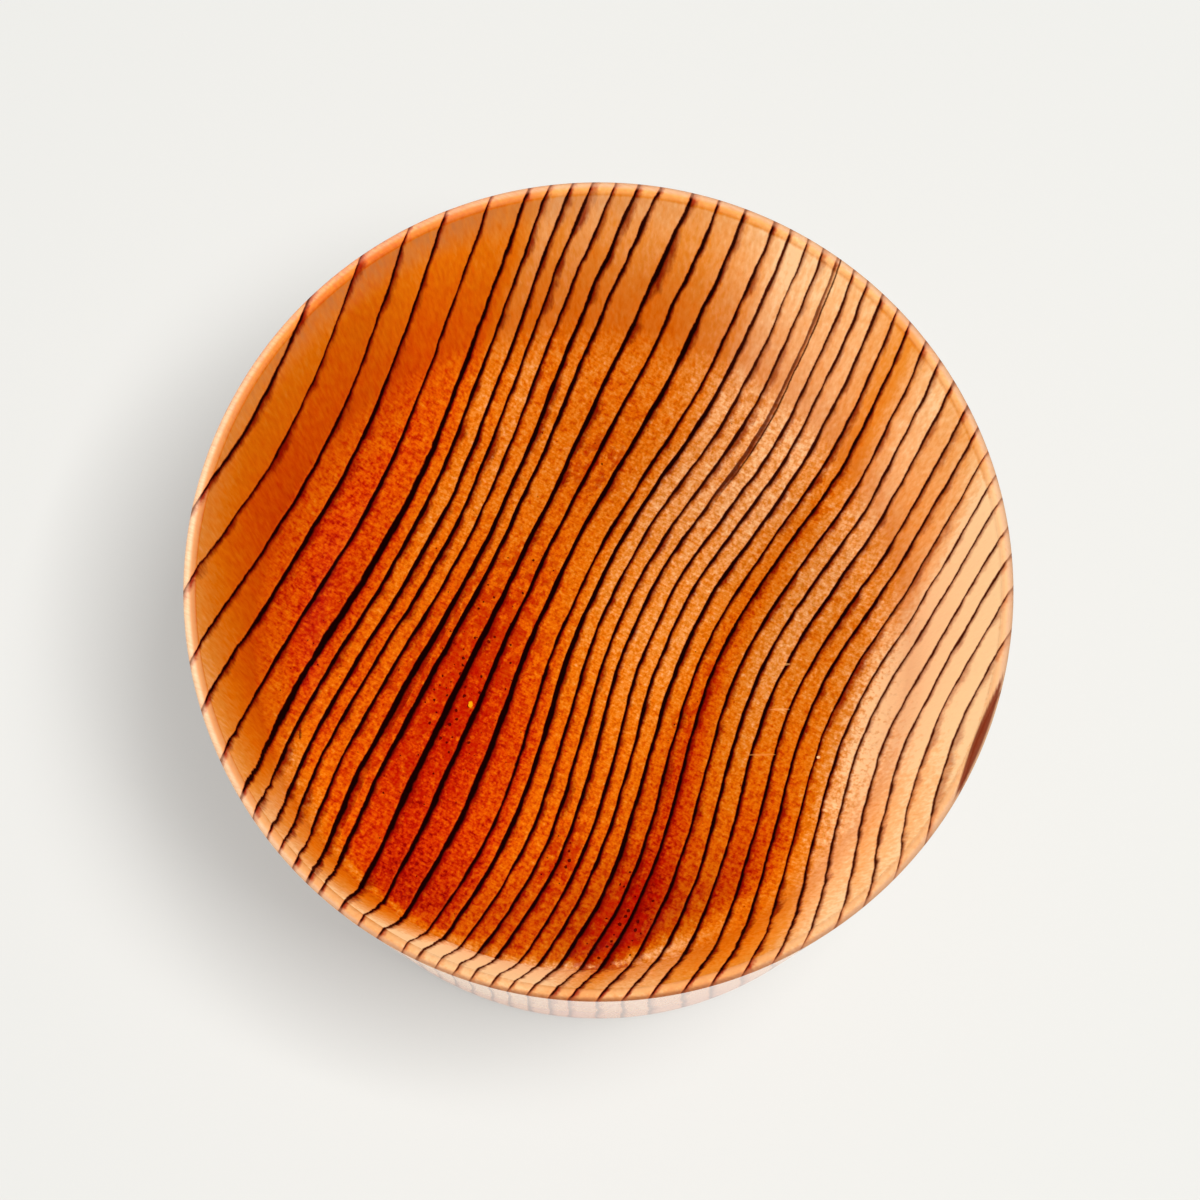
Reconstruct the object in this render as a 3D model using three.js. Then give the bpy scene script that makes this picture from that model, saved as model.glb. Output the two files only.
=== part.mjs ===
// A sake cup turned and hollowed from one block of cedar.
// Millimetres, +Z up, origin at the middle of the foot on the table, -X at the photograph's left,
// -Y towards the viewer.

import * as THREE from 'three';

// Driving dimensions of the outside
const HEIGHT = 55; // table to the top of the lip
const RIM_RADIUS = 30; // outside of the lip, the widest place
const BASE_RADIUS = 27; // the straight outer wall, carried on down to the table
const FOOT_ROUND = 2; // rounding between the outer wall and the foot

// Driving dimensions of the hollow
const LIP_THICKNESS = 0.9; // the lip is a full round of this width
const FLOOR_EDGE_DEPTH = 33; // top of the lip down to the edge of the floor
const FLOOR_RADIUS = 24.8; // edge of the floor, where it meets the inner wall
const FLOOR_DISH = 2.5; // the middle of the floor lies this much below its edge
const FLOOR_EDGE_ROUND = 1.5; // cove between the inner wall and the floor
const FLOOR_SHIFT = -1.6; // the floor's centre in X: the wall is thinner at the left

// Driving dimensions of the underside
const RECESS_RADIUS = 19; // the cup stands on the flat ring outside this radius
const RECESS_DEPTH = 1.5;
const RECESS_ROUND = 0.8; // rounding at the recess's inner corner

// Fineness of the faceted model
const STEPS_AROUND = 72;
const STEPS_PER_ARC = 4;

// Adds the arc that rounds a corner of the section. The path arrives along `arriving` and leaves
// along `leaving`, both unit vectors, and the arc touches both.
function roundCorner(path, corner, arriving, leaving, radius) {
  const turn = arriving.cross(leaving) > 0 ? 1 : -1;
  const turnAngle = Math.acos(arriving.dot(leaving));
  const start = corner.clone().addScaledVector(arriving, -radius * Math.tan(turnAngle / 2));
  const toCentre = new THREE.Vector2(-arriving.y, arriving.x).multiplyScalar(turn * radius);
  const centre = start.clone().add(toCentre);
  const startAngle = Math.atan2(-toCentre.y, -toCentre.x);
  path.lineTo(centre.x + radius * Math.cos(startAngle), centre.y + radius * Math.sin(startAngle));
  path.absarc(centre.x, centre.y, radius, startAngle, startAngle + turn * turnAngle, turn < 0);
}

// Unit vector from one point of the section to another
function direction(from, to) {
  return to.clone().sub(from).normalize();
}

// The section is drawn in (radius, height): from the axis under the cup, out along the foot,
// up the outer wall and over the lip. It ends where the lip passes into the inner wall.
function outsideSection() {
  const lipRadius = LIP_THICKNESS / 2;
  const lipCentre = new THREE.Vector2(RIM_RADIUS - lipRadius, HEIGHT - lipRadius);
  const outward = new THREE.Vector2(1, 0);
  const downward = new THREE.Vector2(0, -1);
  const footEdge = new THREE.Vector2(BASE_RADIUS, 0);
  const wallTop = new THREE.Vector2(RIM_RADIUS, lipCentre.y);

  const path = new THREE.Path();
  path.moveTo(0, RECESS_DEPTH);
  roundCorner(path, new THREE.Vector2(RECESS_RADIUS, RECESS_DEPTH), outward, downward, RECESS_ROUND);
  path.lineTo(RECESS_RADIUS, 0);
  roundCorner(path, footEdge, outward, direction(footEdge, wallTop), FOOT_ROUND);
  path.absarc(lipCentre.x, lipCentre.y, lipRadius, 0, Math.PI, false);
  return path.getPoints(STEPS_PER_ARC);
}

// Down the inner wall, round the cove and along the floor to the axis. The floor is a parabola,
// level at the axis, which rises by FLOOR_DISH to its edge.
function hollowSection() {
  const wallTop = new THREE.Vector2(RIM_RADIUS - LIP_THICKNESS, HEIGHT - LIP_THICKNESS / 2);
  const floorEdge = new THREE.Vector2(FLOOR_RADIUS, HEIGHT - FLOOR_EDGE_DEPTH);
  const floorMiddle = new THREE.Vector2(0, floorEdge.y - FLOOR_DISH);
  const downWall = direction(wallTop, floorEdge);
  const alongFloor = new THREE.Vector2(-FLOOR_RADIUS, -2 * FLOOR_DISH).normalize();

  const path = new THREE.Path();
  path.moveTo(wallTop.x, wallTop.y);
  roundCorner(path, floorEdge, downWall, alongFloor, FLOOR_EDGE_ROUND);
  const coveEnd = path.currentPoint.clone();
  const controlRadius = coveEnd.x + (alongFloor.x / alongFloor.y) * (floorMiddle.y - coveEnd.y);
  path.quadraticCurveTo(controlRadius, floorMiddle.y, floorMiddle.x, floorMiddle.y);
  return path.getPoints(STEPS_PER_ARC).slice(1);
}

// How far the hollow has moved sideways at a height: nothing at the lip, all of it at the floor
function hollowShift(height) {
  return (FLOOR_SHIFT * (HEIGHT - height)) / FLOOR_EDGE_DEPTH;
}

function cupGeometry() {
  const outside = outsideSection();
  const section = outside.concat(hollowSection());
  const geometry = new THREE.LatheGeometry(section, STEPS_AROUND);
  const position = geometry.getAttribute('position');
  for (let i = 0; i < position.count; i++) {
    const isHollow = i % section.length >= outside.length;
    if (isHollow) {
      position.setX(i, position.getX(i) + hollowShift(position.getY(i)));
    }
  }
  geometry.rotateX(Math.PI / 2);
  geometry.computeVertexNormals();
  return geometry;
}

// Clear-finished cedar, red-orange
const cedar = new THREE.MeshStandardMaterial({ color: 0xd8752c, roughness: 0.35, metalness: 0 });

const cupBody = new THREE.Mesh(cupGeometry(), cedar);
cupBody.name = 'cup_body';

const sakeCup = new THREE.Group();
sakeCup.name = 'sake_cup';
sakeCup.add(cupBody);

export default sakeCup;
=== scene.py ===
# %% [markdown]
# # A turned cedar sake cup
# The cup is one block of cedar, turned on a lathe, hollowed and given a clear coat. Its whole look is
# in the growth rings: they run through the solid wood like the leaves of a book, so the same ring
# crosses the floor, climbs the inner wall, goes over the lip and comes down the outside.
# The scene is worked out in the wood first and on the surface second: every point of the cup knows
# which ring it was cut from, and the material only has to paint that ring.
# Lengths are in millimetres until a mesh is made. +Z is up, -X is the photograph's left and -Y is
# towards the viewer.

import math

import bpy
import numpy as np
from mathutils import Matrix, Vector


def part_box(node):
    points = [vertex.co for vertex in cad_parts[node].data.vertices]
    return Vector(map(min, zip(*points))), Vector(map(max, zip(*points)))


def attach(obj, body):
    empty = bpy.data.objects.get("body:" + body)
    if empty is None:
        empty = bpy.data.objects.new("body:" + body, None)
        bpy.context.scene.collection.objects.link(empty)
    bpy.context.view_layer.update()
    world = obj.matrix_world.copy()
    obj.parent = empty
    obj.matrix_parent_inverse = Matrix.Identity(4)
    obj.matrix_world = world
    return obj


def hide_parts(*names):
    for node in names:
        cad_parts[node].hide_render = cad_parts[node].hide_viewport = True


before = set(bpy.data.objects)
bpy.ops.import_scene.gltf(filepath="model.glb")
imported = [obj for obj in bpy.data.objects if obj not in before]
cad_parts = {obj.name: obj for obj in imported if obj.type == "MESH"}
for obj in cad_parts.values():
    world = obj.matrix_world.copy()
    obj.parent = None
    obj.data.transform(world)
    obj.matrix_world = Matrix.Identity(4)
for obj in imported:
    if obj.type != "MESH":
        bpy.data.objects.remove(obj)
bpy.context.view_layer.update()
MM = 0.001
cup_low, cup_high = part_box("cup_body")
HEIGHT = (cup_high.z - cup_low.z) / MM
RIM_RADIUS = (cup_high.x - cup_low.x) / 2 / MM
print(f"cup {2 * RIM_RADIUS:.1f} mm across the lip and {HEIGHT:.1f} mm high")

# %% [markdown]
# ## Sizes of the cup
# The outside is a straight wall that leans out a little from the foot to the lip. The hollow is
# shallower than the outside suggests: the base is thick, which keeps a light cup standing and its
# bottom cool. The hollow's axis leans to the left, so the wall is thinner there, as the photograph
# shows. The corner between the wall and the floor is crisp at the near side only, and a soft cove all
# the way round from there.

# %% Sizes of the cup
BASE_RADIUS = 27.0
FOOT_ROUND = 2.0
LIP_THICKNESS = 0.9
FLOOR_EDGE_DEPTH = 33.0
FLOOR_RADIUS = 24.8
FLOOR_DISH = 2.5
FLOOR_SHIFT = -1.6
CRISP_COVE = 0.7
SOFT_COVE = 7.5
CRISP_FACES = math.radians(-108)
CRISP_REACH = math.radians(38)
RECESS_RADIUS = 19.0
RECESS_DEPTH = 1.5
RECESS_ROUND = 0.8
STEPS_AROUND = 360
MIDDLE_DEPTH = FLOOR_EDGE_DEPTH + FLOOR_DISH
print(f"hollow {FLOOR_EDGE_DEPTH} mm deep at the floor's edge and {MIDDLE_DEPTH} in its middle")

# %% [markdown]
# ## The section
# A turned shape is a section carried round an axis. The section here starts on the axis under the
# cup and runs out along the foot, up the outer wall, over the lip, down the inner wall, round the
# cove and back to the axis along the floor. It could be drawn with a curve and the Screw modifier,
# but worked out as an array it keeps its points where the light needs them: close together on the
# lip and in the cove, wider apart on the straight walls.

# %% Helpers that draw the section
def straight(start, end, steps):
    """Points from start to end at even distances: start + t * (end - start), without the last."""
    t = np.linspace(0, 1, steps, endpoint=False)[:, None]
    return np.asarray(start) + t * (np.asarray(end) - np.asarray(start))


def rounded(before, corner, after, radius, steps):
    """The arc of this radius that touches both sides of a corner: centre + radius * (cos a, sin a)."""
    before, corner, after = (np.asarray(p, float) for p in (before, corner, after))
    arriving = (corner - before) / np.linalg.norm(corner - before)
    leaving = (after - corner) / np.linalg.norm(after - corner)
    turn = math.acos(np.clip(arriving @ leaving, -1, 1))
    side = np.sign(arriving[0] * leaving[1] - arriving[1] * leaving[0])
    start = corner - arriving * radius * math.tan(turn / 2)
    to_centre = side * radius * np.array([-arriving[1], arriving[0]])
    first = math.atan2(-to_centre[1], -to_centre[0])
    angle = first + side * np.linspace(0, turn, steps)
    return start + to_centre + radius * np.stack([np.cos(angle), np.sin(angle)], -1)


# %% The section, as two parts
def outside_section():
    """(radius, height) from the axis under the cup out along the foot, up the wall and over the lip."""
    lip = LIP_THICKNESS / 2
    wall_top = (RIM_RADIUS, HEIGHT - lip)
    recess = (RECESS_RADIUS, RECESS_DEPTH)
    recess_corner = rounded((0, RECESS_DEPTH), recess, (RECESS_RADIUS, 0), RECESS_ROUND, 7)
    foot_corner = rounded((RECESS_RADIUS, 0), (BASE_RADIUS, 0), wall_top, FOOT_ROUND, 13)
    angle = np.linspace(0, np.pi, 19)
    lip_arc = np.array([RIM_RADIUS - lip, HEIGHT - lip])
    lip_arc = lip_arc + lip * np.stack([np.cos(angle), np.sin(angle)], -1)
    return np.concatenate([
        straight((0, RECESS_DEPTH), recess_corner[0], 20),
        recess_corner,
        straight((RECESS_RADIUS, 0), foot_corner[0], 8),
        foot_corner[:-1],
        straight(foot_corner[-1], wall_top, 56),
        lip_arc,
    ])


def hollow_section(cove_radius):
    """(radius, height) down the inner wall, round the cove, and along the floor, a parabola:
    the floor's height grows from its middle with the square of the radius."""
    wall_top = (RIM_RADIUS - LIP_THICKNESS, HEIGHT - LIP_THICKNESS / 2)
    edge = (FLOOR_RADIUS, HEIGHT - FLOOR_EDGE_DEPTH)
    inward = (0, edge[1] - 2 * FLOOR_DISH)
    cove = rounded(wall_top, edge, inward, cove_radius, 15)
    radius = np.linspace(cove[-1][0], 0, 70)
    height = edge[1] - FLOOR_DISH + (cove[-1][1] - edge[1] + FLOOR_DISH) * (radius / cove[-1][0]) ** 2
    floor = np.stack([radius, height], -1)
    return np.concatenate([straight(wall_top, cove[0], 62)[1:], cove, floor[1:]])


outside = outside_section()
print(f"section of {len(outside)} points outside and {len(hollow_section(CRISP_COVE))} in the hollow")

# %% [markdown]
# ## The surface
# The surface is a function of two parameters: the angle round the axis and the place along the
# section. Two things vary with the angle. The hollow's points move sideways in proportion to their
# depth, because its axis leans, and the cove's radius passes smoothly from crisp to soft and back.

# %% The surface as arrays
def cup_points():
    """Point = (r cos a + lean, r sin a, z) for each angle a and section point (r, z). The section of
    the hollow is the crisp one plus (soft - crisp) times a share that is 0 where a faces the crisp
    side and grows to 1 away from it, as 1 - exp(-(turn / reach) squared)."""
    angle = np.linspace(0, 2 * np.pi, STEPS_AROUND, endpoint=False)[:, None]
    crisp = hollow_section(CRISP_COVE)
    soft = hollow_section(SOFT_COVE)
    turn = np.angle(np.exp(1j * (angle - CRISP_FACES)))
    share = 1 - np.exp(-((turn / CRISP_REACH) ** 2))
    radius = np.hstack([outside[:, 0] + 0 * angle, crisp[:, 0] + share * (soft - crisp)[:, 0]])
    height = np.hstack([outside[:, 1] + 0 * angle, crisp[:, 1] + share * (soft - crisp)[:, 1]])
    is_hollow = np.arange(radius.shape[1]) >= len(outside)
    lean = np.where(is_hollow, FLOOR_SHIFT * (HEIGHT - height) / FLOOR_EDGE_DEPTH, 0)
    return np.stack([radius * np.cos(angle) + lean, radius * np.sin(angle), height], -1)


def closed_mesh(name, grid):
    """A mesh from rows of points round an axis. The first and last column are the two poles, each
    kept as one point with a fan of triangles, and four-sided faces join the columns between."""
    around, along = grid.shape[:2]
    ring = grid[:, 1:-1].reshape(-1, 3)
    poles = np.stack([grid[:, 0].mean(0), grid[:, -1].mean(0)])
    here = np.arange(around)[:, None] * (along - 2) + np.arange(along - 2)
    there = np.roll(here, -1, axis=0)
    quads = np.stack([here[:, :-1], there[:, :-1], there[:, 1:], here[:, 1:]], -1).reshape(-1, 4)
    first, last = len(ring), len(ring) + 1
    start_fan = np.stack([np.full(around, first), there[:, 0], here[:, 0]], -1)
    end_fan = np.stack([np.full(around, last), here[:, -1], there[:, -1]], -1)
    mesh = bpy.data.meshes.new(name)
    vertices = np.concatenate([ring, poles]) * MM
    faces = quads.tolist() + start_fan.tolist() + end_fan.tolist()
    mesh.from_pydata(vertices.tolist(), [], faces)
    mesh.polygons.foreach_set("use_smooth", np.ones(len(mesh.polygons), bool))
    mesh.update()
    return mesh


grid = cup_points()
cup_mesh = closed_mesh("turned_cup", grid)
cup = bpy.data.objects.new("turned_cup", cup_mesh)
bpy.context.scene.collection.objects.link(cup)
print(f"turned cup: {len(cup_mesh.vertices)} points, {len(cup_mesh.polygons)} faces")

# %% [markdown]
# ## Which ring is this point in?
# A growth ring is a thin-walled tube round the middle of the trunk. This cup is small and was cut
# well away from the middle, so its rings pass as nearly flat sheets that stand almost upright. They
# cross the cup from lower left to upper right, and they wave, because the trunk grew with bends.
# The ring coordinate is a length: how far a point lies across the sheets. It is a plane's equation,
# with a stretch that draws the sheets apart a little and one long wave along them. The wave moves the
# lines to the left near the cup's middle and to the right nearer its edge, by about a millimetre. At
# the far left it goes the other way, and less.

# %% The ring coordinate
LINE_ANGLE = math.radians(63)
LEAN_ACROSS = 0.475
LEAN_UP = 0.055
FAN_ACROSS = 0.06
FAN_ALONG = 0.025
STRETCH = 0.083
STRETCH_FROM = 12.0
WAVE_LENGTH = 42.0
WAVE_CREST = 5.0
PUSH_LEFT = -0.6
PUSH_RIGHT = 1.1
PUSH_TURNS = (-16, 2)


def bell(value, middle, reach):
    """1 in the middle, falling off as exp(-(distance / reach) squared)."""
    return np.exp(-(((value - middle) / reach) ** 2))


def smooth(value, low, high):
    """0 below low and 1 above high, with an even S-shaped step between: t * t * (3 - 2 t)."""
    t = np.clip((value - low) / (high - low), 0, 1)
    return t * t * (3 - 2 * t)


def sheet_axes(x, y):
    """Distances across the sheets (to the right and near) and along them (to the right and far)."""
    across = x * math.sin(LINE_ANGLE) - y * math.cos(LINE_ANGLE)
    along = x * math.cos(LINE_ANGLE) + y * math.sin(LINE_ANGLE)
    return across, along


def ring_coordinate(point):
    """sin(line angle) * (x - a y - b h + c x h / R - d y h / R), where h is the height above the
    lip, which is negative in the cup, and R the lip's radius. The stretch takes off a share of the
    distance across, and the wave adds push * cos(2 pi * (along - crest) / length), where the push
    passes smoothly from its left value to its right one."""
    x, y = point[..., 0], point[..., 1]
    h = point[..., 2] - HEIGHT
    across, along = sheet_axes(x, y)
    fan = (FAN_ACROSS * x - FAN_ALONG * y) * h / RIM_RADIUS
    flat = math.sin(LINE_ANGLE) * (x - LEAN_ACROSS * y - LEAN_UP * h + fan)
    push = PUSH_LEFT + (PUSH_RIGHT - PUSH_LEFT) * smooth(across, *PUSH_TURNS)
    wave = push * np.cos(2 * np.pi * (along - WAVE_CREST) / WAVE_LENGTH)
    return flat + STRETCH * (STRETCH_FROM - across) + wave


# %% [markdown]
# ## Ring widths
# A tree that has light and water grows wide rings, and a crowded one narrow rings, so rings are
# never even. The cup shows six periods of growth: five wide rings at the left, six narrow ones, four
# wider ones, and then rings of 1.2 to 1.4 mm. Within a period the width still varies a little from
# year to year. Whole ring numbers fall on the dark lines.

# %% Ring numbers
FIRST_LINE = -24.9
# Each period of growth: how many rings, and their mean width in mm
GROWTH = ((5, 2.2), (6, 1.2), (4, 1.7), (9, 1.2), (5, 1.4), (7, 1.3))
UNEVENNESS = 0.12
UNEVEN_TURN = 2.4
SPARE_RINGS = 12


def ring_widths():
    """Mean width of each ring's period times 1 + unevenness * sin(turn * ring number), with spare
    rings at both ends."""
    means = np.repeat([width for _, width in GROWTH], [count for count, _ in GROWTH])
    uneven = means * (1 + UNEVENNESS * np.sin(UNEVEN_TURN * np.arange(len(means))))
    return np.pad(uneven, SPARE_RINGS, mode="edge")


def ring_numbers(coordinate):
    """Ring number and local ring width for a ring coordinate. The number passes a whole value at
    each dark line and grows evenly between, and the width passes smoothly from ring to ring."""
    widths = ring_widths()
    lines = np.concatenate([[0], np.cumsum(widths)])
    lines = lines - lines[SPARE_RINGS] + FIRST_LINE
    number = np.interp(coordinate, lines, np.arange(len(lines)) - SPARE_RINGS)
    width = np.interp(coordinate, (lines[1:] + lines[:-1]) / 2, widths)
    return number, width


def store(mesh, name, values):
    """Keeps one number per grid point on the mesh. Each pole takes the mean of its column."""
    inner = values[:, 1:-1].reshape(-1)
    both = np.concatenate([inner, [values[:, 0].mean(), values[:, -1].mean()]])
    attribute = mesh.attributes.new(name, "FLOAT", "POINT")
    attribute.data.foreach_set("value", both.astype(np.float32))


coordinate = ring_coordinate(grid)
number, width = ring_numbers(coordinate)
store(cup_mesh, "ring_number", number)
store(cup_mesh, "ring_width", width)
print(f"rings {number.min():.1f} to {number.max():.1f}, {width.min():.1f} to {width.max():.1f} mm wide")

# %% [markdown]
# ## How pale is the wood here?
# Between the dark lines the wood runs from a deep red at the left and in the near half of the floor
# to a pale peach at the right. Three things add up. The heartwood's colour changes from one group of
# rings to the next. The near half of the floor is darker, partly from resin and partly as painted
# shade from the near wall. And light is painted onto the walls, which are paler, the more so near the
# lip, and onto the crisp edge of the floor at the near side, as a painted highlight that shows as a
# light line.
# One number from 0 (deep red) to 1 (pale peach) carries all three, and the material turns it into
# a colour. A second number, the shade, is kept apart from it: it is painted shade, which darkens the
# wood without making it redder.

# %% Paleness of the rings
TONE_AT_LEFT = 0.30
# Where the tone rises: from and to on the ring coordinate (mm), and by how much
TONE_RISES = ((-14, -12, 0.22), (0, 2, 0.18), (19, 22, 0.20))
# Bands of darker rings: middle and reach on the ring coordinate (mm), and how much darker
DARK_BANDS = ((-3, 2.5, 0.06), (11.2, 1.3, 0.22), (17.5, 1.6, 0.07))


def tone_of_ring(coordinate):
    """Paleness of each group of rings: the tone at the left, plus the rises, minus the dark bands."""
    rises = sum(rise * smooth(coordinate, start, end) for start, end, rise in TONE_RISES)
    bands = sum(dip * bell(coordinate, middle, reach) for middle, reach, dip in DARK_BANDS)
    return TONE_AT_LEFT + rises - bands


# %% [markdown]
# ## Changes by place
# The changes on the floor and the wall are rows of a small table. A row has an amount and the steps
# that limit it, each a distance and the two places between which the step goes from 0 to 1. "Ring"
# is the ring coordinate, and "far_left" is y less 0.6 of x. A row counts as its amount times all of
# its steps, and the rows are summed.

# %% Changes by place
# Each row: amount, then its steps as (distance, from, to), in mm
# On the floor: the far side paler, and the near half darker, partly as resin and partly as painted shade from
# the near wall
FLOOR_PALENESS = (
    (0.06, ("along", 6, 16), ("ring", 0, 2)),
    (0.06, ("y", 4, 14), ("ring", -17, -9)),
    (-0.11, ("y", -11, -20)),
    (-0.07, ("along", 8, -10), ("ring", 27, 19)),
    (-0.06, ("along", 8, -10), ("ring", 27, 19), ("ring", -14, -11)),
    (-0.10, ("along", 8, -10), ("ring", 27, 19), ("ring", -8, -6)),
)
# Painted light and shade on the walls, as changes of paleness
PAINTED_LIGHT_ON_WALLS = (
    (0.07, ("x", 8, 26)),
    (0.03, ("x", -14, -24)),
    (0.26, ("y", -18.5, -26), ("ring", 16, 6)),
    (-0.13, ("far_left", 12, 34)),
    (-0.04, ("y", 8, 16), ("x", 8, 16)),
    (-0.08, ("y", -10, -18), ("x", -10, -16)),
    (-0.17, ("y", -4, -16), ("ring", 10, 20)),
)
# Painted shade: in the near corner and the right part of the floor, and on the wall at the left
FLOOR_SHADE = (
    (0.36, ("y", -13, -21), ("x", 20, 10)),
    (0.18, ("across", 5, 10)),
)
WALL_SHADE = (
    (0.16, ("x", -12, -18), ("depth", 2, 9)),
    (0.12, ("x", -12, -18), ("depth", 2, 9), ("y", 4, 14)),
)


def distances(point, coordinate):
    """The distances that a step may be measured on, under their names."""
    x, y, depth = point[..., 0], point[..., 1], HEIGHT - point[..., 2]
    across, along = sheet_axes(x, y)
    named = {"x": x, "y": y, "depth": depth, "across": across, "along": along}
    return {**named, "ring": coordinate, "far_left": y - 0.6 * x}


def summed(rows, where):
    """The sum over the rows of amount * step * step ..."""
    total = 0.0
    for amount, *steps in rows:
        for name, start, end in steps:
            amount = amount * smooth(where[name], start, end)
        total = total + amount
    return total


where = distances(grid, coordinate)
changes = len(FLOOR_PALENESS + PAINTED_LIGHT_ON_WALLS), len(FLOOR_SHADE + WALL_SHADE)
print(f"{changes[0]} changes of paleness and {changes[1]} of shade")

# %% Paleness and shade
# Painted light on the walls, as paleness: a lift that grows towards the lip, less so at the right, and more
# low on the far wall
WALL_LIFT = 0.06
LIP_LIFT = 0.38
LIP_LIFT_LOST = 0.26
FAR_LOW_LIFT = 0.11
# The painted highlight on the floor's crisp near edge: its strength and its reach in mm
EDGE_HIGHLIGHT = 0.17
EDGE_HIGHLIGHT_REACH = 0.25
OUTSIDE_SHARE = 0.5


def share_of_wall(depth):
    """0 on the floor and 1 on the wall."""
    return smooth(depth, FLOOR_EDGE_DEPTH + 0.6, FLOOR_EDGE_DEPTH - 1.2)


def floor_edge_highlight(where):
    """The painted highlight, a light line, on the crisp edge of the floor: a narrow bell round the
    hollow's own axis, at the near side only."""
    lean = FLOOR_SHIFT * where["depth"] / FLOOR_EDGE_DEPTH
    from_axis = np.hypot(where["x"] - lean, where["y"])
    line = EDGE_HIGHLIGHT * bell(from_axis, FLOOR_RADIUS - 0.3, EDGE_HIGHLIGHT_REACH)
    return line * smooth(where["depth"], 31, 32) * smooth(where["y"], -14, -20)


def paleness(where):
    """Ring tone with the painted highlight on the floor's edge, plus the change on the floor or the lift
    on the wall. The lift is painted light: it grows towards the lip, less so at the right, and low on
    the far wall there is some more of it."""
    on_wall = share_of_wall(where["depth"])
    towards_lip = (1 - np.clip(where["depth"] / FLOOR_EDGE_DEPTH, 0, 1)) ** 1.4
    lift = WALL_LIFT + (LIP_LIFT - LIP_LIFT_LOST * smooth(where["ring"], 0, 8)) * towards_lip
    lift = lift + FAR_LOW_LIFT * smooth(where["y"], 8, 18) * (1 - towards_lip)
    lift = lift + summed(PAINTED_LIGHT_ON_WALLS, where)
    tone = tone_of_ring(where["ring"]) + floor_edge_highlight(where)
    return tone + summed(FLOOR_PALENESS, where) * (1 - on_wall) + lift * on_wall


def shade(where):
    """How much painted shade darkens the wood: in the near corner and the right part of the floor, and
    on the wall at the left, more so at the far left."""
    on_wall = share_of_wall(where["depth"])
    return summed(FLOOR_SHADE, where) * (1 - on_wall) + summed(WALL_SHADE, where) * on_wall


is_outside = (np.arange(grid.shape[1]) < len(outside))[None, :]
pale = paleness(where)
pale = np.where(is_outside, pale + OUTSIDE_SHARE * (tone_of_ring(coordinate) - pale), pale)
store(cup_mesh, "paleness", pale)
store(cup_mesh, "shade", np.where(is_outside, 0, shade(where)))
print(f"paleness {pale.min():.2f} to {pale.max():.2f}")

# %% [markdown]
# ## Stains and heavy lines
# Resin has stained the floor a dark red in a few places, with dark specks of it in the pores, and
# there the rings' lines are a little heavier too. One line at the left is heavier than the rest, and
# twice as heavy in its middle. The lines are thinner on the walls, at the right and on the outside.
# Both are kept as a strength at each point, and the material breaks them up into blotches, specks
# and edges.

# %% Stains and heavy lines
# Each stain: its middle across and along the sheets, its reach across and along, and its strength
STAINS = (
    (-8.5, -5.0, 3.2, 9.0, 0.9),
    (4.8, -15.5, 1.2, 4.0, 1.1),
    (11.2, -18.5, 2.0, 5.5, 1.4),
    (8.8, 0.0, 1.6, 6.0, 0.6),
    (-7.0, 14.0, 2.5, 3.0, 0.5),
    (-20.5, -8.0, 2.5, 8.0, 0.35),
    (-9.0, -9.0, 8.0, 13.0, 0.35),
)
HEAVY_LINE = -14.2
HEAVY_REACH = 0.9
OUTSIDE_LINES = 0.75


def stain_strength(point):
    """The sum of the stains' bells, on the hollow's lower part only."""
    across, along = sheet_axes(point[..., 0], point[..., 1])
    total = 0 * across
    for middle_across, middle_along, reach_across, reach_along, strength in STAINS:
        stain = bell(across, middle_across, reach_across) * bell(along, middle_along, reach_along)
        total = total + strength * stain
    return total * smooth(HEIGHT - point[..., 2], 20, 30)


def line_weight(point, coordinate):
    """How heavy the dark lines are: 1 as a rule, more on the heavy line and left of the floor's
    middle, and less at the right and on the walls."""
    along = sheet_axes(point[..., 0], point[..., 1])[1]
    middle = 0.45 * bell(coordinate, -4, 8) * bell(along, -3, 16)
    heavy = (0.35 + 0.7 * bell(along, -6, 12)) * bell(coordinate, HEAVY_LINE, HEAVY_REACH)
    on_wall = smooth(HEIGHT - point[..., 2], FLOOR_EDGE_DEPTH, 0.7 * FLOOR_EDGE_DEPTH)
    thinner = 0.12 + 0.22 * smooth(coordinate, -6, -16)
    return (1 + heavy + middle - 0.2 * smooth(coordinate, 12, 20)) * (1 - thinner * on_wall)


stain = np.where(is_outside, 0, stain_strength(grid))
store(cup_mesh, "stain", stain)
weight = line_weight(grid, coordinate) * np.where(is_outside, OUTSIDE_LINES, 1)
store(cup_mesh, "line_weight", weight)
print(f"stain up to {stain.max():.2f}, lines {weight.min():.2f} to {weight.max():.2f} of the usual weight")

# %% [markdown]
# ## The lip
# The lip is a thin rounded edge. Its top faces the lights more than the walls, so it is painted a
# plain tan, as painted shade. Its outer edge has a painted highlight and painted shade: a cream band
# at the left, a light brown one at the far side and the right, and a thin brown line at the near
# side, and the dark lines fade as they cross it. At the right a pocket of pitch, which lies in the
# last ring, is cut open by the lip. Dust dulls the wood just under the lip at the far left, where
# the lip's painted tan and band are weaker.
# Two more masks are made here, because they need the same distances. One marks the outer face. The
# other says where the wood is calm: the turned walls have less of a pattern than the floor, where
# the tool cut across the ends of the fibres.

# %% Masks of the lip
# Each value round the cup: what it is everywhere, then bells of direction and reach in degrees, and
# amount
LIP_BAND = (0.45, (-90, 55, -0.27))
# Painted highlight and shade on the lip's outer band: cream towards the left, brown at the near side
LIP_HIGHLIGHT = (0.55, (175, 55, 0.45), (-90, 35, -0.6))
# Painted shade on the lip's top, which faces the lights
LIP_TOP_SHADING = (0.5, (180, 60, 0.35), (-90, 50, 0.2), (-15, 50, 0.3))
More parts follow.
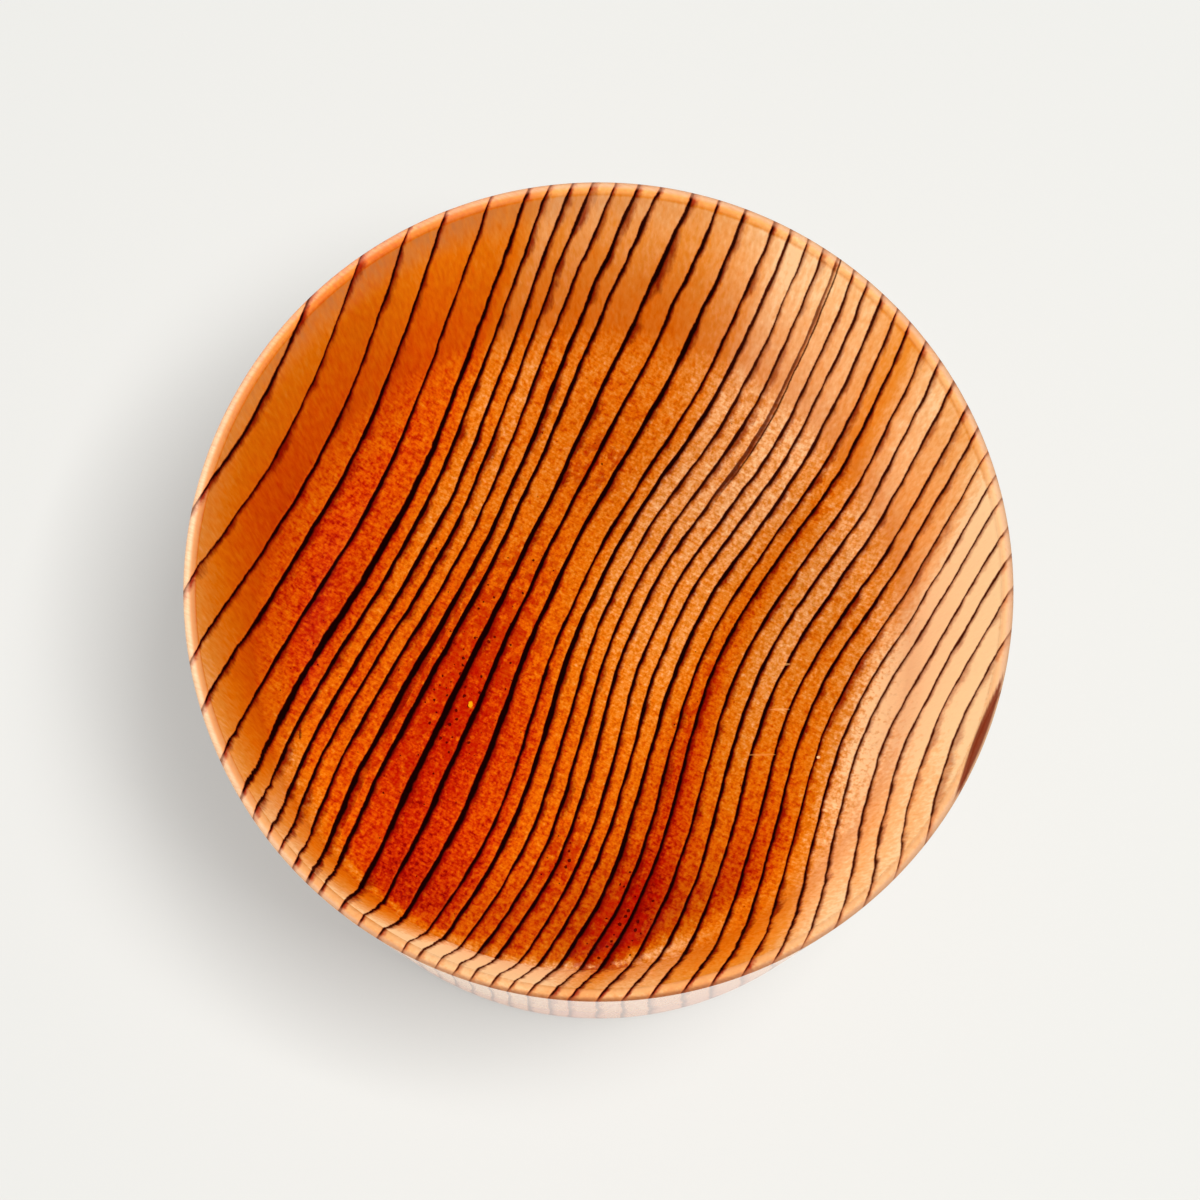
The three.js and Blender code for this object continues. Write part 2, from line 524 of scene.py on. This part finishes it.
# Where the lip's painted band and tan are weaker: the far left
FAR_LEFT_LIP = (0, (130, 24, 1))
BAND_LOST = 0.45
TOP_LOST = 0.6
rim_gap = RIM_RADIUS - np.hypot(grid[..., 0], grid[..., 1])
depth = HEIGHT - grid[..., 2]
facing = np.arctan2(grid[..., 1], grid[..., 0])


def round_the_cup(base, *bells):
    """The base, plus for each bell amount * exp(-(turn / reach) squared), where turn is the angle
    between the bell's direction and the surface's, as seen from the axis."""
    total = base
    for middle, reach, amount in bells:
        turn = np.angle(np.exp(1j * (facing - math.radians(middle))))
        total = total + amount * bell(turn, 0, math.radians(reach))
    return total


lip_band = round_the_cup(*LIP_BAND)
far_left_lip = round_the_cup(*FAR_LEFT_LIP)
lip = smooth(rim_gap, lip_band + 0.18, lip_band - 0.12) * smooth(depth, 1.1, 0.4)
lip_top = smooth(rim_gap, LIP_THICKNESS + 0.2, LIP_THICKNESS - 0.2) * smooth(depth, 0.6, 0.2)
lip_top = lip_top * round_the_cup(*LIP_TOP_SHADING)
store(cup_mesh, "lip", lip * (1 - BAND_LOST * far_left_lip))
store(cup_mesh, "lip_light", np.clip(round_the_cup(*LIP_HIGHLIGHT), 0, 1))
store(cup_mesh, "lip_top", lip_top * (1 - TOP_LOST * far_left_lip))
print(f"lip band {lip_band.min():.2f} to {lip_band.max():.2f} mm wide")

# %% Masks of the outer face, the calm wood, the dust and the pitch
PITCH_EDGE = 28.3
CALM = 0.8
DUST_SPREAD = (0, (125, 42, 1))
is_outer_face = is_outside & ((rim_gap < LIP_THICKNESS / 2) | (depth > LIP_THICKNESS))
store(cup_mesh, "outside", is_outer_face * smooth(depth, 0.2, 0.9))
calm = CALM * smooth(depth, FLOOR_EDGE_DEPTH, 0.8 * FLOOR_EDGE_DEPTH)
store(cup_mesh, "calm", np.where(is_outer_face, 0, calm))
dust = smooth(depth, 8, 1) * round_the_cup(*DUST_SPREAD) * smooth(rim_gap, 0.2, 0.6)
store(cup_mesh, "dust", np.where(is_outside, 0, dust))
pitch = smooth(coordinate, PITCH_EDGE, PITCH_EDGE + 0.1) * smooth(rim_gap, 0.06, 0.2)
store(cup_mesh, "pitch", pitch * smooth(depth, 1.0, 0.4))
print(f"{len(cup_mesh.attributes)} attributes on the cup, dust up to {dust.max():.2f}")

# %% [markdown]
# ## Writing shader maths as Python
# A material is a graph of nodes, and sums of a dozen nodes are hard to read as a graph. This small
# class wraps a socket, so that an expression on it adds the Math nodes. Any other node comes from
# one method that takes the node's type, its settings and the values or links of its sockets.

# %% Shader expressions
DEEPEN = (0.50, 0.44, 0.40, 1.0)


class Value:
    """An output socket. Arithmetic on it adds Math nodes and gives a new Value."""

    def __init__(self, tree, socket):
        self.tree = tree
        self.socket = socket

    def math(self, operation, *others):
        sockets = dict(enumerate((self,) + others))
        return add_node(self.tree, "ShaderNodeMath", {"operation": operation}, sockets)

    def __add__(self, other):
        return self.math("ADD", other)

    def __mul__(self, other):
        return self.math("MULTIPLY", other)

    def __sub__(self, other):
        return self.math("SUBTRACT", other)

    def __truediv__(self, other):
        return self.math("DIVIDE", other)

    def __rsub__(self, other):
        return self * -1 + other

    __radd__ = __add__
    __rmul__ = __mul__

    def clamped(self):
        return self.math("MAXIMUM", 0.0).math("MINIMUM", 1.0)

    def step(self, low, high):
        """0 at low and 1 at high, S-shaped between. Low may be the higher number."""
        settings = {"interpolation_type": "SMOOTHSTEP"}
        sockets = {"Value": self, "From Min": low, "From Max": high}
        return add_node(self.tree, "ShaderNodeMapRange", settings, sockets)


def add_node(tree, kind, settings=None, sockets=None, output=0):
    """Adds a node: its settings first, then the values or links of its sockets."""
    node = tree.nodes.new(kind)
    for name, value in (settings or {}).items():
        if name == "stops":
            set_stops(node.color_ramp, value)
        else:
            setattr(node, name, value)
    for name, value in (sockets or {}).items():
        if isinstance(value, Value):
            tree.links.new(value.socket, node.inputs[name])
        else:
            node.inputs[name].default_value = value
    return Value(tree, node.outputs[output])


def set_stops(ramp, stops):
    """Gives a colour ramp these (place, colour) stops."""
    while len(ramp.elements) > 1:
        ramp.elements.remove(ramp.elements[-1])
    ramp.elements[0].position = stops[0][0]
    ramp.elements[0].color = stops[0][1]
    for place, colour in stops[1:]:
        ramp.elements.new(place).color = colour


def mix_colour(tree, factor, first, second):
    """The first colour where the factor is 0 and the second where it is 1."""
    settings = {"data_type": "RGBA"}
    return add_node(tree, "ShaderNodeMix", settings, {0: factor, 6: first, 7: second}, 2)


def darker(tree, factor, colour):
    """The colour multiplied by a deep brown where the factor is 1, and left alone where it is 0."""
    settings = {"data_type": "RGBA", "blend_type": "MULTIPLY"}
    return add_node(tree, "ShaderNodeMix", settings, {0: factor, 6: colour, 7: DEEPEN}, 2)


def srgb(red, green, blue):
    """A colour as a screen shows it (0 to 255), turned into the linear light a shader uses."""
    values = [c / 255 for c in (red, green, blue)]
    linear = [v / 12.92 if v <= 0.04045 else ((v + 0.055) / 1.055) ** 2.4 for v in values]
    return (*linear, 1.0)


# %% [markdown]
# ## Cedar
# The tree lays down pale, soft wood in spring and a thin, dense, dark layer in late summer, and then
# stops. So each dark line has a sharp side, where growth stopped, and a side where colour bleeds
# into the wood next to it. In the photograph the sharp side is at the left. The lines are nearly
# black under the coat in the heartwood, and thinner and browner in the pale wood at the right.
# An image of wood would repeat or stretch on a cup. Here the lines are distances, worked out at each
# point from its ring number, so they stay crisp at any size.

# %% Tree of the cedar material
cedar = bpy.data.materials.new("cedar")
cedar.use_nodes = True
tree = cedar.node_tree
tree.nodes.clear()


def attribute(name):
    settings = {"attribute_name": name}
    return add_node(tree, "ShaderNodeAttribute", settings, None, "Fac")


place = add_node(tree, "ShaderNodeTexCoord", None, None, "Object")


def noise(where, scale, detail=2.0):
    sockets = {"Vector": where, "Scale": scale, "Detail": detail}
    return add_node(tree, "ShaderNodeTexNoise", None, sockets, "Fac")


def fibres(across, along, up):
    """Coordinates turned so that x runs across the rings, in millimetres, and scaled per axis. A
    small scale draws a pattern out along that axis."""
    settings = {"operation": "MULTIPLY"}
    return add_node(tree, "ShaderNodeVectorMath", settings, {0: turned, 1: (across, along, up)})


PER_METRE = 1000
turn_to_rings = {"Rotation": (0, 0, math.pi / 2 - LINE_ANGLE), "Scale": (PER_METRE, PER_METRE, PER_METRE)}
turned = add_node(tree, "ShaderNodeMapping", None, {"Vector": place, **turn_to_rings})

# %% Distance to the nearest dark line
# How far the lines stray from an even course, from slow wavers to a ragged edge, in mm
SLOW_WAVER = 0.36
QUICK_WAVER = 0.14
RAGGED = 0.07
along_trunk = fibres(1.0, 0.6, 0.3)
ring_width = attribute("ring_width")
slow_waver = (noise(along_trunk, 0.22, 1.0) - 0.5) * SLOW_WAVER
quick_waver = (noise(along_trunk, 0.9, 1.0) - 0.5) * QUICK_WAVER
ragged = (noise(along_trunk, 5.0, 2.0) - 0.5) * RAGGED
ring = attribute("ring_number") + (slow_waver + quick_waver) / ring_width
line = ring.math("ROUND")
gap = (ring - line) * ring_width + ragged


def by_number(number, seed):
    """A number from 0 to 1 that is the same wherever the given whole number is."""
    sockets = {"W": number + seed}
    return add_node(tree, "ShaderNodeTexWhiteNoise", {"noise_dimensions": "1D"}, sockets, "Value")


# %% The dark line, its bleed and its bright edge
# A line's half width, what its ring may add to it, and the bleed's width beside the thinnest, in mm
LINE_HALF = 0.08
LINE_EXTRA = 0.05
BLEED_LEAST = 0.22
THIN_TONES = (0.72, 1.0)
paleness_here = attribute("paleness")
outer_face = attribute("outside")
stain_here = attribute("stain")
thin = paleness_here.step(*THIN_TONES)
patchy = noise(along_trunk, 0.35, 1.0)
specks = noise(fibres(1, 1, 0.08), 4.4, 2.0)
rough = noise(fibres(1, 0.8, 0.1), 1.3, 1.5)
half_width = LINE_HALF + LINE_EXTRA * by_number(line, 3) + 0.10 * (patchy - 0.5) + 0.015 * stain_here
half_width = half_width * attribute("line_weight") * (1 - 0.12 * thin)
right_edge = gap - half_width
bleed_width = BLEED_LEAST + 0.40 * by_number(line, 7) * patchy.step(0.35, 0.7) + 0.12 * stain_here
left_edge = gap + half_width
core = left_edge.step(-0.01, 0.06) * (right_edge + 0.2 * (rough - 0.5)).step(0.10, -0.04)
bleed_end = right_edge / bleed_width + 1.3 * (rough - 0.5) + 0.6 * (specks - 0.5)
bleed = left_edge.step(-0.03, 0.04) * bleed_end.step(1.1, 0.1)
bright_edge = left_edge.step(-0.14, -0.04) * left_edge.step(0.04, -0.02)
widest = 2 * (LINE_HALF + LINE_EXTRA)
print(f"lines about {2 * LINE_HALF:.2f} to {widest:.2f} mm wide, and a slow waver of {SLOW_WAVER / 2:.2f} mm")

# %% [markdown]
# ## Colour
# The paleness becomes a colour through a ramp. The trunk's axis stands upright in the cup, so the
# floor shows the ends of the fibres as fine dots, with rays as strokes across the rings, and the
# walls show the fibres' length. These and broad clouds move the tone a little. Each ring has its own
# tone, and wood just after a dark line is a bit redder than wood before the next. Then the painted
# shade darkens it. The outer face is painted much paler and pinker than the hollow, as the thin strip
# of it in the photograph shows: a painted sheen, for the bright floor that the coat reflects there.

# %% Colour of the wood between the lines
fibre = noise(fibres(3.4, 3.4, 0.2), 1.0, 3.0)
strokes = noise(fibres(0.9, 6.5, 0.4), 1.0, 2.0)
grains = noise(fibres(1, 1, 0.08), 1.9, 2.0)
clouds = noise(fibres(1.0, 0.4, 0.4), 0.16, 2.0)
ring_below = ring.math("FLOOR")
lively = 1 - attribute("calm")
coarse = 0.14 * (clouds - 0.5) + 0.36 * (strokes - 0.5) + 0.46 * (grains - 0.5) + 0.5 * (specks - 0.5)
tone = paleness_here + 0.24 * (1 + lively) * (fibre - 0.5) + lively * coarse
tone = tone + 0.09 * (by_number(ring_below, 11) - 0.5) + 0.07 * (ring - ring_below - 0.5)

OUTSIDE_SHEEN_PINK = srgb(235, 192, 164)
DUST = srgb(178, 112, 66)
WOOD_STOPS = (
    (0.00, srgb(140, 8, 2)),
    (0.12, srgb(174, 27, 2)),
    (0.25, srgb(195, 56, 2)),
    (0.40, srgb(208, 91, 3)),
    (0.55, srgb(218, 120, 8)),
    (0.70, srgb(222, 143, 50)),
    (0.82, srgb(229, 166, 96)),
    (0.92, srgb(236, 187, 127)),
    (1.00, srgb(242, 208, 156)),
)
wood = add_node(tree, "ShaderNodeValToRGB", {"stops": WOOD_STOPS}, {"Fac": tone.clamped()}, "Color")
wood = darker(tree, 0.22 * lively * (0.5 * specks + 0.5 * grains).step(0.52, 0.38), wood)
# Painted shade, from the shade attribute
wood = darker(tree, attribute("shade"), wood)
wood = mix_colour(tree, attribute("dust") * (0.6 + 1.2 * (grains - 0.5)), wood, DUST)
# Painted sheen: the outer face mixed towards a pale pink
wood = mix_colour(tree, 0.6 * outer_face, wood, OUTSIDE_SHEEN_PINK)
print(f"{len(WOOD_STOPS)} tones of wood")

# %% [markdown]
# ## What lies over the wood
# Real finishes come in layers, so the colour is built in layers too, each mixed over the one before
# by its own mask: first the red stains, then the specks of resin in the pores, then the painted shade
# and highlight of the lip, then the rings' lines, the pitch pocket, and last the marks that use has
# left. The pores run up the trunk, so they are cells of a flat pattern across it: each cell has a
# middle and a chance of its own, and is filled round its middle where the chance and the stain are
# high enough.
# One line at the far right is split in two in its upper part, so it gets a thin second line beside
# it.

# %% Stains, specks of resin and the lip's painted shade and highlight over the wood
PORES_PER_MM = 1.5
LARGEST_PORE = 0.22
STAIN_RED = srgb(170, 13, 0)
SPECK_RED = srgb(60, 2, 0)
LIP_HIGHLIGHT_CREAM = srgb(214, 180, 146)
SHADED_LIP_TAN = srgb(178, 124, 82)
LIP_SHADE_BROWN = srgb(134, 72, 40)
blotches = noise(fibres(1.0, 0.7, 0.3), 1.5, 4.0) + 0.14 * stain_here
stain_cover = blotches.step(0.52, 0.64) * stain_here.step(0.05, 0.5)
flat_cells = {"voronoi_dimensions": "2D"}
cells = {"Vector": turned, "Scale": PORES_PER_MM}
from_pore = add_node(tree, "ShaderNodeTexVoronoi", flat_cells, cells, "Distance")
pore_chance = add_node(tree, "ShaderNodeTexVoronoi", flat_cells, cells, "Color")
closed = 0.3 * (1 - lively) + 0.3 * outer_face
pore_size = (0.5 * (pore_chance - 0.85) + 0.22 * stain_here - closed).math("MINIMUM", LARGEST_PORE)
speck_cover = (from_pore - pore_size + 0.3 * (specks - 0.5)).step(0.03, -0.03)
lip_here = attribute("lip")
# The lip's painted highlight and shade: cream where lit, brown where shaded, and a painted-shade tan on its
# top
lip_highlight_colour = mix_colour(tree, attribute("lip_light"), LIP_SHADE_BROWN, LIP_HIGHLIGHT_CREAM)
painted = mix_colour(tree, 0.62 * stain_cover, wood, STAIN_RED)
painted = mix_colour(tree, 0.9 * speck_cover, painted, SPECK_RED)
painted = mix_colour(tree, attribute("lip_top"), painted, SHADED_LIP_TAN)
painted = mix_colour(tree, lip_here * (0.75 + 0.9 * (strokes - 0.5)).clamped(), painted, lip_highlight_colour)

# %% Lines over the wood
BLEED_RED = srgb(126, 5, 0)
BLEED_BROWN = srgb(150, 62, 16)
LINE_BLACK = srgb(18, 2, 1)
LINE_BROWN = srgb(64, 20, 6)
EDGE_ORANGE = srgb(226, 104, 20)
PITCH_BROWN = srgb(96, 34, 16)
# The split line's number, where the split begins and is full along the sheets (mm), and how far off
# the second line lies (mm)
SPLIT_LINE = 19
SPLIT_REACH = (13, 20)
SPLIT_GAP = 0.26
pitch_here = attribute("pitch")
up_right = add_node(tree, "ShaderNodeSeparateXYZ", None, {"Vector": turned}, "Y").step(*SPLIT_REACH)
split = line.math("COMPARE", SPLIT_LINE, 0.4) * up_right
second_line = split * (gap - SPLIT_GAP).math("ABSOLUTE").step(0.09, 0.03)
fade = (1 - 0.5 * lip_here) * (1 - 0.5 * outer_face)
bleed_colour = mix_colour(tree, thin, BLEED_RED, BLEED_BROWN)
line_colour = mix_colour(tree, thin, LINE_BLACK, LINE_BROWN)
painted = mix_colour(tree, 0.15 * bright_edge * (1 - stain_here - thin), painted, EDGE_ORANGE)
painted = mix_colour(tree, fade * bleed * (0.92 - 0.3 * thin), painted, bleed_colour)
painted = mix_colour(tree, fade * core * (1 - 0.35 * split), painted, line_colour)
painted = mix_colour(tree, 0.9 * second_line, painted, LINE_BROWN)
painted = mix_colour(tree, 0.95 * pitch_here, painted, PITCH_BROWN)

# %% [markdown]
# ## Small marks
# The floor has three pale scratches and a pale dot at the right, a fleck of yellow in a pore left of
# the middle, and a dark nick near the left wall. Each is an ellipse with a ragged edge: the sum of
# the squares of both distances, each divided by its reach, with the specks' noise added.

# %% Small marks in the floor
# Each mark: x, y, reach in x, reach in y (mm), strength and colour
MARKS = (
    (14.7, -0.6, 0.45, 0.10, 0.4, srgb(240, 190, 120)),
    (14.3, -4.2, 0.80, 0.09, 0.4, srgb(240, 190, 120)),
    (12.8, -7.8, 1.20, 0.08, 0.3, srgb(236, 170, 90)),
    (17.3, -8.1, 0.13, 0.13, 1.0, srgb(240, 200, 140)),
    (-10.1, -3.7, 0.17, 0.26, 1.0, srgb(240, 170, 14)),
    (-23.4, -6.4, 0.10, 0.45, 0.7, srgb(70, 10, 4)),
)
spread = {"operation": "MULTIPLY"}
in_mm = add_node(tree, "ShaderNodeVectorMath", spread, {0: place, 1: (PER_METRE, PER_METRE, PER_METRE)})
mm_x = add_node(tree, "ShaderNodeSeparateXYZ", None, {"Vector": in_mm}, "X")
mm_y = add_node(tree, "ShaderNodeSeparateXYZ", None, {"Vector": in_mm}, "Y")
for x, y, reach_x, reach_y, strength, colour in MARKS:
    off_x, off_y = (mm_x - x) / reach_x, (mm_y - y) / reach_y
    mark = (off_x * off_x + off_y * off_y + 2.0 * (specks - 0.5)).step(1.3, 0.6)
    painted = mix_colour(tree, strength * mark * (1 - outer_face), painted, colour)
print(f"{len(MARKS)} small marks")

# %% [markdown]
# ## Finish
# The coat inside is worn nearly dull, and its shine would only veil the steep walls, so the hollow
# has almost none. The outer face keeps a full coat. A very low relief raises the dark lines and the
# fibres, because the soft wood between them wears first.

# %% Finish of the cedar
RELIEF_DEPTH = 0.12 * MM
COAT_ROUGHNESS = 0.18
ROUGHNESS = 0.42
COAT_INSIDE = 0.02
relief = 0.5 * core + 0.6 * fibre + 0.4 * grains
bump_sockets = {"Height": relief, "Strength": 0.35, "Distance": RELIEF_DEPTH}
normal = add_node(tree, "ShaderNodeBump", None, bump_sockets)
shader = tree.nodes.new("ShaderNodeBsdfPrincipled")
shader.inputs["Specular IOR Level"].default_value = 0.0
shader.inputs["Coat Roughness"].default_value = COAT_ROUGHNESS
output = tree.nodes.new("ShaderNodeOutputMaterial")
tree.links.new(painted.socket, shader.inputs["Base Color"])
roughness = ROUGHNESS + 0.2 * (grains - 0.5) - 0.08 * core
tree.links.new(roughness.socket, shader.inputs["Roughness"])
coat = COAT_INSIDE + (1 - COAT_INSIDE) * outer_face * (1 - pitch_here)
tree.links.new(coat.socket, shader.inputs["Coat Weight"])
tree.links.new(normal.socket, shader.inputs["Normal"])
tree.links.new(shader.outputs["BSDF"], output.inputs["Surface"])
cup_mesh.materials.append(cedar)
print(f"cedar material of {len(tree.nodes)} nodes")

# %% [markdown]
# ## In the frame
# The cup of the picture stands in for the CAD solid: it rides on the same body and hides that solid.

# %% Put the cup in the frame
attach(cup, "root")
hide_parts("cup_body")
print("the turned cup rides on root and takes the place of cup_body")

# %% [markdown]
# ## Floor
# The photograph's ground is an even, warm off-white with no edge in sight, and the shadow on it is
# faint and takes no colour from the cup. A sheet of white acrylic lit from below gives that, as on a
# photographer's light table: a bit over half of its brightness is its own. The floor is one wide
# plane.

# %% Floor
FLOOR_SIZE = 4.0
FLOOR_COLOUR = srgb(125, 125, 123)
FLOOR_GLOW = srgb(250, 250, 246)
GLOW_STRENGTH = 0.49


def plane(name, size):
    """A square of this size round the origin, at height 0."""
    half = size / 2
    mesh = bpy.data.meshes.new(name)
    corners = [(-half, -half, 0), (half, -half, 0), (half, half, 0), (-half, half, 0)]
    mesh.from_pydata(corners, [], [(0, 1, 2, 3)])
    made = bpy.data.objects.new(name, mesh)
    bpy.context.scene.collection.objects.link(made)
    return made


floor = plane("floor", FLOOR_SIZE)
acrylic = bpy.data.materials.new("floor_acrylic")
acrylic.use_nodes = True
acrylic_shader = acrylic.node_tree.nodes["Principled BSDF"]
acrylic_shader.inputs["Base Color"].default_value = FLOOR_COLOUR
acrylic_shader.inputs["Roughness"].default_value = 0.9
acrylic_shader.inputs["Specular IOR Level"].default_value = 0.1
acrylic_shader.inputs["Emission Color"].default_value = FLOOR_GLOW
acrylic_shader.inputs["Emission Strength"].default_value = GLOW_STRENGTH
floor.data.materials.append(acrylic)
print(f"floor {FLOOR_SIZE} m wide")

# %% [markdown]
# ## Light
# The photograph has one soft, short shadow, at the lower left. So one panel high above and a little
# to the right lights the floor and nothing else, and its shadow falls mostly under the cup. The cup
# has lights of its own, which don't reach the floor: a panel above, and five round it that stand for
# the white walls of a light tent. Four of these are at 40 to 50 degrees and reach the inner walls,
# and one low at the near side reaches the outside. No panel is seen, not even as a reflection.

# %% Helpers for the lights
AIM = (0, 0, 0.03)


def lit_only(name, things):
    """A collection that a light can be limited to."""
    made = bpy.data.collections.new(name)
    for thing in things:
        made.objects.link(thing)
    return made


def panel(name, place, size, power, lights):
    """A square area light that looks from its place at the cup, lights one collection and isn't
    seen itself, neither by the camera nor as a reflection."""
    light = bpy.data.lights.new(name, "AREA")
    light.size = size
    light.energy = power
    made = bpy.data.objects.new(name, light)
    bpy.context.scene.collection.objects.link(made)
    look = Vector(AIM) - Vector(place)
    made.location = place
    made.rotation_euler = look.to_track_quat("-Z", "Y").to_euler()
    made.visible_camera = False
    made.visible_glossy = False
    made.light_linking.receiver_collection = lights
    return made


# %% The panels
TENT_REACH = 0.5
TENT_PANEL = 0.25
# Panels of the tent: name, bearing and climb in degrees, and power in watts
TENT = (
    ("left_panel", 180, 40, 1.55),
    ("near_panel", -90, 50, 1.15),
    ("far_panel", 90, 50, 1.8),
    ("right_panel", 0, 50, 1.45),
    ("low_panel", -90, 8, 0.9),
)
floor_only = lit_only("floor_only", [floor])
cup_only = lit_only("cup_only", [cup])
panel("shadow_light", place=(0.165, -0.06, 0.95), size=0.21, power=18.5, lights=floor_only)
panel("bowl_light", place=(0.0, -0.155, 0.93), size=0.3, power=2.03, lights=cup_only)
for name, bearing, climb, power in TENT:
    turn, rise = math.radians(bearing), math.radians(climb)
    out, up = TENT_REACH * math.cos(rise), TENT_REACH * math.sin(rise)
    panel(name, (out * math.cos(turn), out * math.sin(turn), up), TENT_PANEL, power, cup_only)
print(f"{2 + len(TENT)} panels")

# %% World
WORLD_STRENGTH = 0.04
world = bpy.data.worlds.new("studio")
bpy.context.scene.world = world
world.use_nodes = True
sky = world.node_tree.nodes["Background"]
sky.inputs["Color"].default_value = (1.0, 0.99, 0.97, 1.0)
sky.inputs["Strength"].default_value = WORLD_STRENGTH

# %% [markdown]
# ## Camera
# The photograph looks down into the cup from almost straight above, tipped a little to the near
# side, from twelve lip radii away. The lens is chosen so that the lip has the photograph's width,
# and a small shift puts it where the photograph has it.

# %% Camera
TILT = math.radians(9.4)
SENSOR = 36.0
DISTANCE = 12 * RIM_RADIUS
PICTURE = 1200
RIM_RADIUS_IN_PICTURE = 415.6
RIM_MIDDLE_IN_PICTURE = (598.4, 585.5)
camera_data = bpy.data.cameras.new("camera")
camera_data.sensor_width = SENSOR
camera_data.lens = SENSOR * RIM_RADIUS_IN_PICTURE * DISTANCE / RIM_RADIUS / PICTURE
camera_data.shift_x = (PICTURE / 2 - RIM_MIDDLE_IN_PICTURE[0]) / PICTURE
camera_data.shift_y = (RIM_MIDDLE_IN_PICTURE[1] - PICTURE / 2) / PICTURE
camera_data.clip_start = 0.01
camera = bpy.data.objects.new("camera", camera_data)
bpy.context.scene.collection.objects.link(camera)
back = Vector((0, -math.sin(TILT), math.cos(TILT)))
camera.location = Vector((0, 0, HEIGHT * MM)) + back * DISTANCE * MM
camera.rotation_euler = (TILT, 0, 0)
bpy.context.scene.camera = camera
print(f"lens {camera_data.lens:.1f} mm")

# %% Colours as the camera gives them
bpy.context.scene.view_settings.view_transform = "Standard"
bpy.context.scene.view_settings.look = "None"
